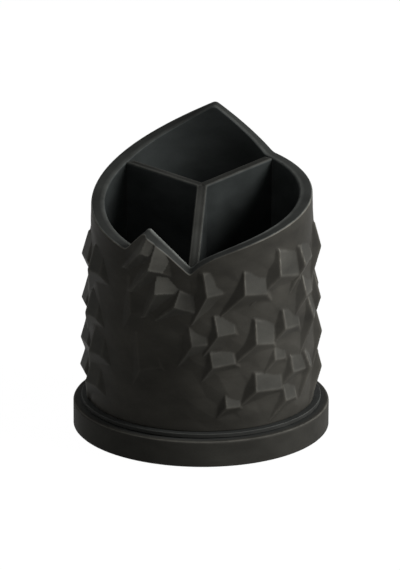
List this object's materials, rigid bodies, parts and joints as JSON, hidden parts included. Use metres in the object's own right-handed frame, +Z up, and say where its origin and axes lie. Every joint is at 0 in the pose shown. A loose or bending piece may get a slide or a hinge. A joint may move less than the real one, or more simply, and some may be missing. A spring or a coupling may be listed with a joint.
{
  "type": "swivel pen holder",
  "caption": "Round pen holder with a chipped, rock-like faceted wall and a stepped ridge rim, divided inside, whose cup turns on a flat round base.",
  "frame": {"origin": "centre of the holder on the table, under the feet", "axes": "+Z up along the axis the cup turns on, +X to the right and +Y to the back as pictured, the tall rim peak being at the back"},
  "size_m": [0.1, 0.1, 0.1196],
  "materials": {
    "cup_black": "matte, moulded",
    "divider_black": "matte, moulded",
    "plate_black": "matte, moulded",
    "base_black": "matte, moulded",
    "cage_plastic": "natural moulded",
    "ball_steel": "ground and polished",
    "steel": "zinc plated",
    "foot_rubber": "matte rubber"
  },
  "bodies": {
    "base": {"base": "base_black", "foot_1": "foot_rubber", "foot_2": "foot_rubber", "foot_3": "foot_rubber", "foot_4": "foot_rubber"},
    "ball_race": {"ball_cage": "cage_plastic", "ball_1": "ball_steel", "ball_2": "ball_steel", "ball_3": "ball_steel", "ball_4": "ball_steel", "ball_5": "ball_steel", "ball_6": "ball_steel", "ball_7": "ball_steel", "ball_8": "ball_steel", "ball_9": "ball_steel", "ball_10": "ball_steel", "ball_11": "ball_steel", "ball_12": "ball_steel"},
    "cup": {"cup": "cup_black", "divider": "divider_black", "turntable_plate": "plate_black", "pivot_washer": "steel", "pivot_screw": "steel", "cup_screw_1": "steel", "cup_screw_2": "steel", "cup_screw_3": "steel"}
  },
  "joints": [
    {"name": "cup_spin", "type": "hinge", "parent": "base", "child": "cup", "pos_m": [0, 0, 0.01], "axis": [0, 0, 1], "continuous": true},
    {"name": "cage_spin", "type": "hinge", "parent": "base", "child": "ball_race", "pos_m": [0, 0, 0.01], "axis": [0, 0, 1], "continuous": true}
  ],
  "couplings": [
    {"joint": "cage_spin", "follows": "cup_spin", "ratio": 0.5}
  ]
}
